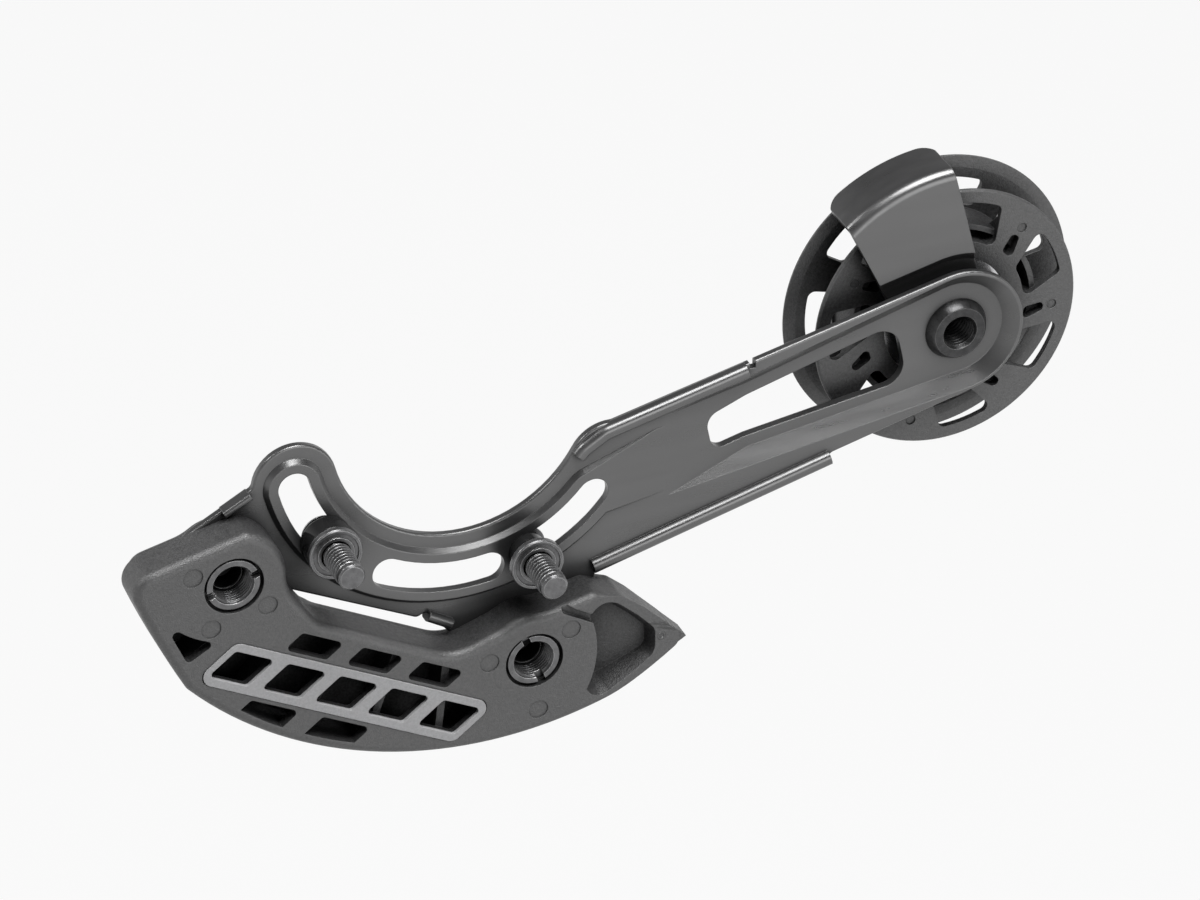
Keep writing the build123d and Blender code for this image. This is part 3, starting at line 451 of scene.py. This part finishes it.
def skid_nylon():
    """Grained nylon with the mould's marks at the skid's tip."""
    material, tree, shader, normal = grained_nylon("skid_nylon")
    for start, end in tip_creases:
        normal = raised(tree, normal, crease(tree, start, end, 0.35), 0.25 * mm, 1.0)
    coords = tree.nodes.new("ShaderNodeTexCoord")
    flat = tree.nodes.new("ShaderNodeMapping")
    flat.inputs["Location"].default_value = (-pin_mark[0] * mm, 0, -pin_mark[1] * mm)
    flat.inputs["Scale"].default_value = (1, 0, 1)
    tree.links.new(coords.outputs["Object"], flat.inputs["Vector"])
    away = tree.nodes.new("ShaderNodeVectorMath")
    away.operation = "LENGTH"
    tree.links.new(flat.outputs["Vector"], away.inputs[0])
    pin = tree.nodes.new("ShaderNodeValToRGB")
    steps = pin.color_ramp
    steps.elements[0].position = 0.15
    steps.elements[0].color = (0, 0, 0, 1)
    steps.elements[1].position = 0.30
    steps.elements[1].color = (1, 1, 1, 1)
    steps.elements.new(0.42).color = (1, 1, 1, 1)
    steps.elements.new(0.55).color = (0.5, 0.5, 0.5, 1)
    tree.links.new(spread(tree, away.outputs["Value"], 0.0, 1.0, 0.0, 2 * mm), pin.inputs["Fac"])
    normal = raised(tree, normal, pin.outputs["Color"], 0.4 * mm, 1.0)
    tree.links.new(normal, shader.inputs["Normal"])
    return material


dress(["skid_inner_half"], skid_nylon())
dress(["skid_outer_half"], wheel_nylon)


# Trim plate: a thin pale inlay with a row of plain slanted slots, painted and pressed into a
# shallow seat in the skid's face.
def pale_trim():
    """Pale satin paint with a fine speckle."""
    material, tree, shader = new_material("pale_trim")
    normal, edge = soft_edges(tree, 0.2 * mm)
    speckle = tone(tree, noise(tree, 2600.0, 4.0), 0.34, 0.42)
    # Edges lighter, for worn paint and as a painted highlight.
    tree.links.new(wear_and_painted_light(tree, speckle, edge, 0.62, 0.5), shader.inputs["Base Color"])
    tree.links.new(spread(tree, noise(tree, 1500.0), 0.36, 0.46), shader.inputs["Roughness"])
    tree.links.new(raised(tree, normal, noise(tree, 2800.0, 2.0), 0.02 * mm, 0.4),
                   shader.inputs["Normal"])
    return material


dress(["skid_trim_plate"], pale_trim())


# Sleeve nuts: turned steel sleeves with a driver slot across the inboard end and a fine
# thread inside, blackened. Each sits in a counterbore of the skid's inner half.
skid_bolts = {"front": ((-52.1, -23.4), 17.0), "rear": ((11.8, -56.8), 108.0)}
nut_r = 5.75
nut_bore_r = 4.0
nut_face_y = -8.15
nut_end_y = -1.0
nut_thread_end_y = -2.4
slot_width = 1.7
slot_floor_y = -6.55
worn_oxide = black_oxide("worn_oxide", 0.11, 0.17, 0.75, 1.1 * mm)


def block(name, place, turn, length, width, low, high):
    """Straight cutter across a round piece."""
    build = bmesh.new()
    bmesh.ops.create_cube(build, size=1.0)
    mesh = bpy.data.meshes.new(name)
    build.to_mesh(mesh)
    build.free()
    shape = Matrix.Diagonal((length * mm, (high - low) * mm, width * mm, 1))
    spot = Matrix.Translation((place[0] * mm, (low + high) / 2 * mm, place[1] * mm))
    mesh.transform(spot @ Matrix.Rotation(radians(-turn), 4, "Y") @ shape)
    piece = bpy.data.objects.new(name, mesh)
    bpy.context.scene.collection.objects.link(piece)
    return piece


for end, (place, slot_turn) in skid_bolts.items():
    nut = turned_mesh(f"slotted_sleeve_{end}", place, [
        (nut_bore_r + 0.45, nut_face_y, ""), (nut_r - 0.2, nut_face_y, ""),
        (nut_r, nut_face_y + 0.2, ""), (nut_r, nut_end_y, ""), (nut_bore_r, nut_end_y, ""),
        (nut_bore_r, nut_thread_end_y, "thread"), (nut_bore_r, nut_face_y + 0.45, "thread")],
        loop=True, pitch=0.75)
    cut_thread(nut, place, start=nut_face_y + 0.25, end=nut_thread_end_y, pitch=0.75, depth=0.42,
               runout=0.3, material=worn_oxide)
    slot_cutter = block("slot_cutter", place, slot_turn, 3 * nut_r, slot_width, nut_face_y - 0.85,
                        slot_floor_y)
    slot_cut = nut.modifiers.new("driver_slot", "BOOLEAN")
    slot_cut.object = slot_cutter
    slot_cut.solver = "EXACT"
    settle(nut)
    bpy.data.objects.remove(slot_cutter)
    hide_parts(f"sleeve_nut_{end}")
    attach(nut, "guide")


# Skid bolts: low-headed steel bolts from outboard, drilled from the tip to save weight, so
# that only a thin ring shows down the sleeve.
bolt_r = 3.95
bolt_tip_y = -3.6
bolt_head_r = 6.2
bolt_head_y = 2.8
bolt_top_y = 5.0
bolt_drill_end_y = 0.6
bolt_key_half = 2.0
for end, (place, _) in skid_bolts.items():
    bolt = turned_mesh(f"drilled_bolt_{end}", place, [
        (0, bolt_drill_end_y + 0.6, ""), (bolt_r - 1.0, bolt_drill_end_y, ""),
        (bolt_r - 0.8, bolt_tip_y + 0.2, ""), (bolt_r - 0.6, bolt_tip_y, ""),
        (bolt_r - 0.5, bolt_tip_y, ""), (bolt_r, bolt_tip_y + 0.5, ""), (bolt_r, bolt_head_y, ""),
        (bolt_head_r, bolt_head_y, ""), (bolt_head_r, bolt_top_y - 0.5, ""),
        (bolt_head_r - 0.5, bolt_top_y, ""), (bolt_key_half + 0.6, bolt_top_y, ""),
        (bolt_key_half, bolt_top_y - 0.3, "hex"), (bolt_key_half, bolt_top_y - 1.6, "hex"),
        (0, bolt_top_y - 1.9, "")])
    bolt.data.materials.append(oxide)
    settle(bolt)
    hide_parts(f"skid_bolt_{end}")
    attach(bolt, "guide")


# Mounting bolts: M6 steel bolts through the arc slots, with a low head outboard, a thinner
# shank and a thread that ends in a plain bright point for the frame's bosses.
mount_circle_r = 37.3
mount_angles = {"front": 216.4, "rear": 290.8}
mount_thread_r = 3.0
mount_shank_r = 2.8
mount_head_r = 4.6
mount_tip_y = -16.5
mount_point_y = -15.0
mount_thread_end_y = -7.4
mount_head_y = 0.8
mount_top_y = 2.2
mount_key_half = 1.5
for end, angle in mount_angles.items():
    place = (mount_circle_r * cos(radians(angle)), mount_circle_r * sin(radians(angle)))
    bolt = turned_mesh(f"threaded_bolt_{end}", place, [
        (0, mount_tip_y, ""), (mount_thread_r - 0.55, mount_tip_y, ""),
        (mount_thread_r - 0.15, mount_tip_y + 0.4, ""), (mount_thread_r - 0.15, mount_point_y, ""),
        (mount_thread_r, mount_point_y + 0.1, "thread"),
        (mount_thread_r, mount_thread_end_y, "thread"),
        (mount_shank_r, mount_thread_end_y, ""), (mount_shank_r, mount_head_y, ""),
        (mount_head_r, mount_head_y, ""), (mount_head_r - 0.25, mount_head_y + 0.6, ""),
        (mount_head_r - 1.0, mount_top_y, ""), (mount_key_half + 0.6, mount_top_y, ""),
        (mount_key_half, mount_top_y - 0.3, "hex"), (mount_key_half, mount_top_y - 2.4, "hex"),
        (0, mount_top_y - 2.8, "")])
    cut_thread(bolt, place, start=mount_point_y - 0.1, end=mount_thread_end_y + 0.2, pitch=1.0,
               depth=-0.58, runout=0.35, material=worn_oxide)
    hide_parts(f"mount_bolt_{end}")
    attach(bolt, "guide")
dress(["mount_washer_front", "mount_washer_rear"], worn_oxide)


# Mounting spacers: short sleeves between the backplate's land and the washers, moulded in
# smooth black plastic that shines.
def gloss_black():
    """Polished black plastic."""
    material, tree, shader = new_material("gloss_black")
    # Painted shade: the plastic's reflections are dimmed in hollows.
    painted_hollow_shade(tree, shader, 5 * mm)
    normal, edge = soft_edges(tree, 0.3 * mm)
    cloud = tone(tree, noise(tree, 300.0, 3.0), 0.010, 0.016)
    # Edges lighter, for scuffing and as a painted highlight.
    tree.links.new(wear_and_painted_light(tree, cloud, edge, 0.10, 0.4), shader.inputs["Base Color"])
    tree.links.new(spread(tree, noise(tree, 700.0, 2.0), 0.05, 0.09), shader.inputs["Roughness"])
    tree.links.new(normal, shader.inputs["Normal"])
    return material


dress(["mount_spacer_front", "mount_spacer_rear"], gloss_black())


# Studio: pale floor well below the guide, broad soft lights and the camera of the photograph.
# The floor and the sky show white to the camera and in reflections; overhead the sky darkens.
floor_z = -0.45
floor_half = 6.0
glow_share = 0.92
sky_light = 0.08
middle = (0.03, 0.0, -0.02)


def add_light(name, place, aim, size, power):
    """Square soft light that faces a point."""
    data = bpy.data.lights.new(name, "AREA")
    data.size = size
    data.energy = power
    light = bpy.data.objects.new(name, data)
    light.location = place
    light.rotation_mode = "QUATERNION"
    light.rotation_quaternion = (Vector(aim) - Vector(place)).to_track_quat("-Z", "Y")
    bpy.context.scene.collection.objects.link(light)


def seen_directly(tree):
    """Share of rays that come from the camera or from a reflection."""
    path = tree.nodes.new("ShaderNodeLightPath").outputs
    seen = math_node(tree, "MAXIMUM", path["Is Camera Ray"], path["Is Glossy Ray"])
    return math_node(tree, "MAXIMUM", seen, path["Is Transmission Ray"])


scene = bpy.context.scene
scene.view_settings.view_transform = "Standard"
add_light("key_light", (0.22, -0.31, 1.03), middle, 0.7, 18.0)
add_light("side_light", (-0.75, 0.25, 0.75), middle, 0.4, 4.5)
add_light("front_light", (0.45, -1.20, 0.0), middle, 0.8, 4.5)

floor_mesh = bpy.data.meshes.new("floor")
floor_corners = [(-1, -1), (1, -1), (1, 1), (-1, 1)]
floor_mesh.from_pydata([(x * floor_half, y * floor_half, floor_z) for x, y in floor_corners], [],
                       [(0, 1, 2, 3)])
floor = bpy.data.objects.new("floor", floor_mesh)
scene.collection.objects.link(floor)
floor_material, tree, shader = new_material("floor_paper")
shader.inputs["Base Color"].default_value = (0.5, 0.5, 0.5, 1)
shader.inputs["Roughness"].default_value = 0.9
glow = tree.nodes.new("ShaderNodeEmission")
glow.inputs["Strength"].default_value = 1.0
mix = tree.nodes.new("ShaderNodeMixShader")
tree.links.new(math_node(tree, "MULTIPLY", seen_directly(tree), glow_share), mix.inputs["Fac"])
tree.links.new(shader.outputs["BSDF"], mix.inputs[1])
tree.links.new(glow.outputs["Emission"], mix.inputs[2])
tree.links.new(mix.outputs["Shader"], tree.nodes["Material Output"].inputs["Surface"])
floor_mesh.materials.append(floor_material)

world = bpy.data.worlds.new("studio")
scene.world = world
world.use_nodes = True
tree = world.node_tree
tree.nodes["Background"].inputs["Color"].default_value = (1, 1, 1, 1)
facing = tree.nodes.new("ShaderNodeSeparateXYZ")
tree.links.new(tree.nodes.new("ShaderNodeTexCoord").outputs["Generated"], facing.inputs[0])
height = spread(tree, facing.outputs["Z"], 1.0, 0.15, 0.0, 0.5)
dome = math_node(tree, "MULTIPLY", seen_directly(tree), height)
tree.links.new(math_node(tree, "MAXIMUM", dome, sky_light),
               tree.nodes["Background"].inputs["Strength"])

camera_data = bpy.data.cameras.new("camera")
camera_data.sensor_width = 36.0
camera_data.lens = 195.0
camera = bpy.data.objects.new("camera", camera_data)
camera.location = (-0.3964, -1.0421, 0.6691)
camera.rotation_mode = "QUATERNION"
camera.rotation_quaternion = Vector((0.3234, 0.7909, -0.5195)).to_track_quat("-Z", "Y")
scene.collection.objects.link(camera)
scene.camera = camera
